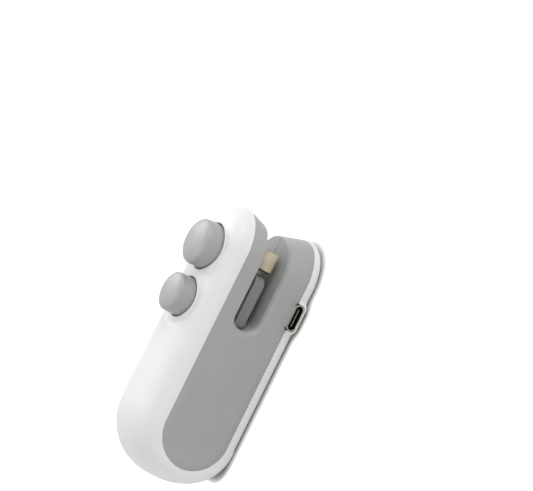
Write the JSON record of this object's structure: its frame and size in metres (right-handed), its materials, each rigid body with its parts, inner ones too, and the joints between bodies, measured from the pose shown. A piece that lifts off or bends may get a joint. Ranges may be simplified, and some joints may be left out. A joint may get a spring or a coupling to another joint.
{
  "type": "bag sealer",
  "caption": "Handheld bag sealer with a heating head and a cutter between two jaws, pressed by domed buttons, charged through a USB-C port.",
  "frame": {"origin": "centre of the flat back face that the sealer rests on, midway between the butt and the jaw tips and between the side panels", "axes": "+X along the body towards the jaw mouth, +Z from the flat back to the buttons, -Y towards the side with the charging port"},
  "size_m": [0.0914, 0.0298, 0.0421],
  "materials": {
    "white_shell": "fine satin moulded plastic",
    "gray_core": "satin moulded plastic",
    "button_gray": "satin moulded plastic",
    "guard_gray": "matte moulded plastic",
    "frame_plastic": "matte moulded plastic",
    "dark_plastic": "heat-resistant moulded plastic",
    "heater_ceramic": "sintered ceramic, dark with heat",
    "heater_tape": "coated glass-cloth tape",
    "steel_screw": "zinc-plated steel",
    "spring_steel": "drawn spring wire",
    "blade_steel": "ground steel",
    "copper": "bare copper strip",
    "cell_wrap": "shrunk plastic sleeve",
    "nickel": "nickel strip",
    "board_green": "solder mask on glass laminate",
    "chip_black": "moulded package",
    "socket_steel": "deep-drawn nickel-plated steel",
    "wire_red": "silicone insulation"
  },
  "bodies": {
    "housing": {"outer_shell": "white_shell", "core_near": "gray_core", "core_far": "gray_core", "base_screws": "steel_screw", "button_frame": "frame_plastic", "frame_screws": "steel_screw", "blade_guard": "guard_gray", "contact_strips": "copper", "battery_cell": "cell_wrap", "battery_tabs": "nickel", "charge_board": "board_green", "board_parts": "chip_black", "usb_socket": "socket_steel", "usb_tongue": "chip_black", "wire_harness": "wire_red", "seal_spring": "spring_steel", "cut_spring": "spring_steel"},
    "sealing_head": {"seal_button": "button_gray", "seal_plunger": "frame_plastic", "heater_holder": "dark_plastic", "heater_block": "heater_ceramic", "heater_wrap": "heater_tape"},
    "cutting_head": {"cut_button": "button_gray", "cut_plunger": "frame_plastic", "blade_carrier": "dark_plastic", "blade": "blade_steel"}
  },
  "joints": [
    {"name": "seal_press", "type": "slide", "parent": "housing", "child": "sealing_head", "axis": [0, 0, -1], "range_m": [0, 0.0019], "stiffness_N_per_m": 600, "springref_m": -0.003, "deforming": ["seal_spring"]},
    {"name": "cut_press", "type": "slide", "parent": "housing", "child": "cutting_head", "axis": [0, 0, -1], "range_m": [0, 0.0028], "stiffness_N_per_m": 500, "springref_m": -0.003, "deforming": ["cut_spring"]}
  ]
}
